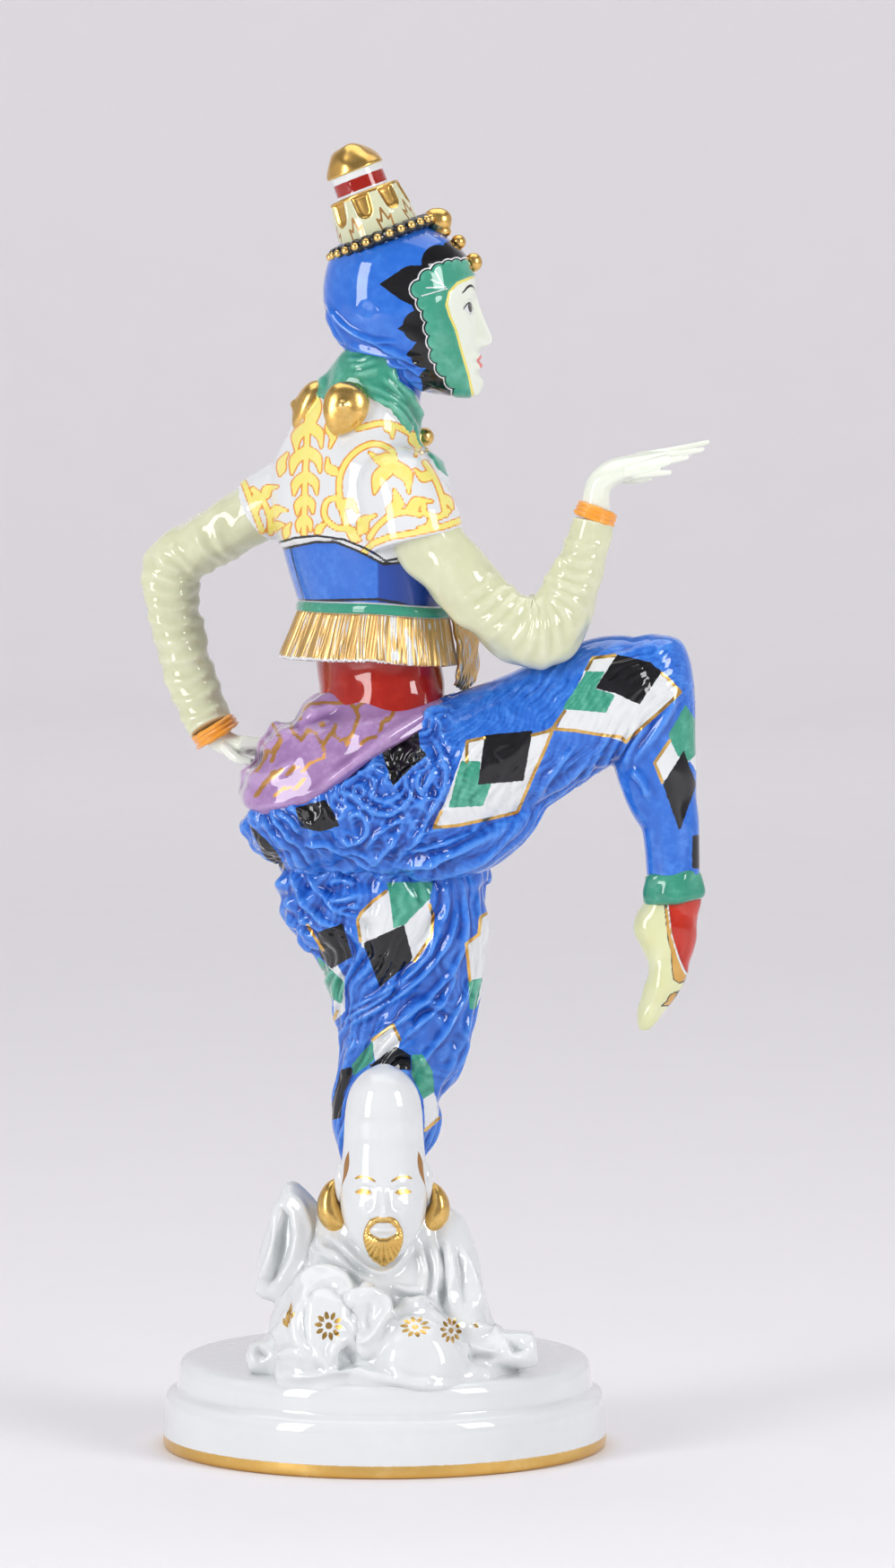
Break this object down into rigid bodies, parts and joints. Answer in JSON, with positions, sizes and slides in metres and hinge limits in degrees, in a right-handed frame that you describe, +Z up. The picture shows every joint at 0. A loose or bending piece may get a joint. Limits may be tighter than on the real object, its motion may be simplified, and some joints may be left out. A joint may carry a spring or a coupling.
{
  "type": "porcelain dancer figurine",
  "caption": "Painted porcelain figurine of a dancer on one leg on a crouching sage's back, on a stepped round plinth.",
  "frame": {"origin": "centre of the plinth's round underside", "axes": "+Z up, +X the way the dancer looks and the raised knee points, -Y the side that the sage looks to"},
  "size_m": [0.1751, 0.1372, 0.4014],
  "materials": {
    "blue_glaze": "glossy cornflower blue enamel over glazed porcelain",
    "white_glaze": "clear glaze over white porcelain",
    "cream_glaze": "glossy pale cream enamel",
    "green_glaze": "glossy teal green enamel",
    "mauve_glaze": "glossy mauve enamel with gold drawing",
    "red_glaze": "glossy red enamel",
    "orange_glaze": "glossy orange enamel",
    "gilding": "burnished gilding"
  },
  "bodies": {
    "root": {"figurine": "blue_glaze"}
  },
  "joints": []
}
